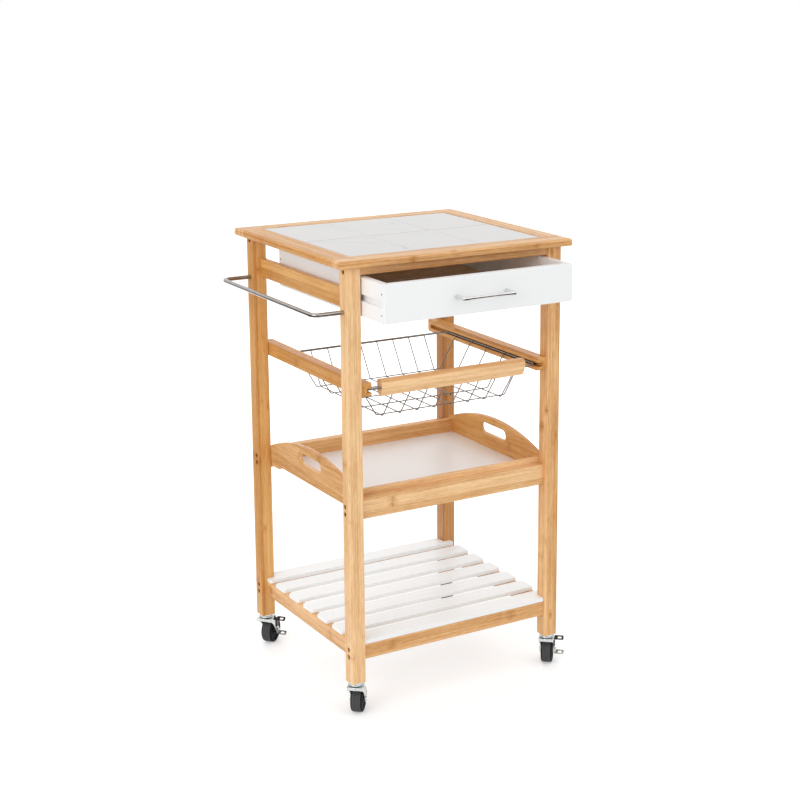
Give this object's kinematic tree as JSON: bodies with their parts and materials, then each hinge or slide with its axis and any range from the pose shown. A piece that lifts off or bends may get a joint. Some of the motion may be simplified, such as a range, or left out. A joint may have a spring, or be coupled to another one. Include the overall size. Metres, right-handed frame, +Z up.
{
  "type": "rolling utility cart",
  "caption": "Square kitchen trolley on swivel casters, with a tiled worktop, a drawer, a pull-out wire basket, a sliding tray, a slatted shelf and a towel rail.",
  "frame": {"origin": "on the floor under the middle of the cart's bounding box, the drawer standing open as at rest", "axes": "+X across the cart to its right, away from the towel rail; +Y to the back, away from the drawer front; +Z up"},
  "size_m": [0.5376, 0.547, 0.85],
  "materials": {
    "bamboo": "satin lacquer",
    "bamboo_light": "satin lacquer",
    "white_paint": "white satin paint",
    "tile": "gloss glazed ceramic with faint grey veins",
    "grout": "matte white grout",
    "chrome": "polished",
    "steel": "bright zinc",
    "dark_steel": "dark bronze plating",
    "black_rubber": "satin",
    "black_plastic": "satin"
  },
  "bodies": {
    "frame": {"leg_front_left": "bamboo", "leg_front_right": "bamboo", "leg_back_left": "bamboo", "leg_back_right": "bamboo", "apron_front": "bamboo", "apron_back": "bamboo", "side_rail_left": "bamboo", "side_rail_right": "bamboo", "runner_left": "bamboo_light", "runner_right": "bamboo_light", "guide_left": "bamboo", "guide_right": "bamboo", "tray_rail_front": "bamboo", "tray_rail_back": "bamboo", "base_rail_front": "bamboo", "base_rail_back": "bamboo", "base_rail_left": "bamboo", "base_rail_right": "bamboo", "slat_1": "white_paint", "slat_2": "white_paint", "slat_3": "white_paint", "slat_4": "white_paint", "slat_5": "white_paint", "slat_6": "white_paint", "slat_7": "white_paint", "top_rail_front": "bamboo_light", "top_rail_back": "bamboo_light", "top_rail_left": "bamboo_light", "top_rail_right": "bamboo_light", "top_board": "white_paint", "top_grout": "grout", "top_tiles": "tile", "towel_rail": "chrome", "frame_bolts": "dark_steel", "caster_mounts": "steel"},
    "drawer": {"drawer_front": "white_paint", "drawer_side_left": "white_paint", "drawer_side_right": "white_paint", "drawer_back": "white_paint", "drawer_bottom": "white_paint", "drawer_handle": "chrome", "drawer_screws": "steel"},
    "basket": {"basket_frame": "chrome", "basket_grip": "bamboo_light"},
    "tray": {"tray_end_left": "bamboo", "tray_end_right": "bamboo", "tray_front": "bamboo", "tray_back": "bamboo", "tray_floor": "white_paint"},
    "swivel_front_left": {"fork_front_left": "steel"},
    "roller_front_left": {"wheel_front_left": "black_rubber"},
    "swivel_front_right": {"fork_front_right": "steel"},
    "roller_front_right": {"wheel_front_right": "black_rubber"},
    "brake_front_right": {"brake_front_right": "steel"},
    "swivel_back_left": {"fork_back_left": "steel"},
    "roller_back_left": {"wheel_back_left": "black_rubber"},
    "brake_back_left": {"brake_back_left": "black_plastic"},
    "swivel_back_right": {"fork_back_right": "steel"},
    "roller_back_right": {"wheel_back_right": "black_rubber"}
  },
  "joints": [
    {"name": "drawer_slide", "type": "slide", "parent": "frame", "child": "drawer", "axis": [0, -1, 0], "range_m": [-0.08, 0.16]},
    {"name": "basket_slide", "type": "slide", "parent": "frame", "child": "basket", "axis": [0, -1, 0], "range_m": [-0.055, 0.16]},
    {"name": "tray_slide", "type": "slide", "parent": "frame", "child": "tray", "axis": [1, 0, 0], "range_m": [-0.18, 0.18]},
    {"name": "swivel_front_left", "type": "hinge", "parent": "frame", "child": "swivel_front_left", "pos_m": [-0.19392, -0.14945, 0.0602], "axis": [0, 0, 1], "continuous": true},
    {"name": "roll_front_left", "type": "hinge", "parent": "swivel_front_left", "child": "roller_front_left", "pos_m": [-0.18106, -0.13413, 0.025], "axis": [0.766, -0.6428, 0], "continuous": true},
    {"name": "swivel_front_right", "type": "hinge", "parent": "frame", "child": "swivel_front_right", "pos_m": [0.22708, -0.14945, 0.0602], "axis": [0, 0, 1], "continuous": true},
    {"name": "roll_front_right", "type": "hinge", "parent": "swivel_front_right", "child": "roller_front_right", "pos_m": [0.23994, -0.13413, 0.025], "axis": [0.766, -0.6428, 0], "continuous": true},
    {"name": "brake_front_right", "type": "hinge", "parent": "swivel_front_right", "child": "brake_front_right", "pos_m": [0.23994, -0.13413, 0.025], "axis": [0.766, -0.6428, 0], "range_deg": [-15, 15]},
    {"name": "swivel_back_left", "type": "hinge", "parent": "frame", "child": "swivel_back_left", "pos_m": [-0.19392, 0.23355, 0.0602], "axis": [0, 0, 1], "continuous": true},
    {"name": "roll_back_left", "type": "hinge", "parent": "swivel_back_left", "child": "roller_back_left", "pos_m": [-0.17859, 0.2464, 0.025], "axis": [0.6428, -0.766, 0], "continuous": true},
    {"name": "brake_back_left", "type": "hinge", "parent": "swivel_back_left", "child": "brake_back_left", "pos_m": [-0.17859, 0.2464, 0.025], "axis": [0.6428, -0.766, 0], "range_deg": [-15, 15]},
    {"name": "swivel_back_right", "type": "hinge", "parent": "frame", "child": "swivel_back_right", "pos_m": [0.22708, 0.23355, 0.0602], "axis": [0, 0, 1], "continuous": true},
    {"name": "roll_back_right", "type": "hinge", "parent": "swivel_back_right", "child": "roller_back_right", "pos_m": [0.23994, 0.24887, 0.025], "axis": [0.766, -0.6428, 0], "continuous": true}
  ]
}
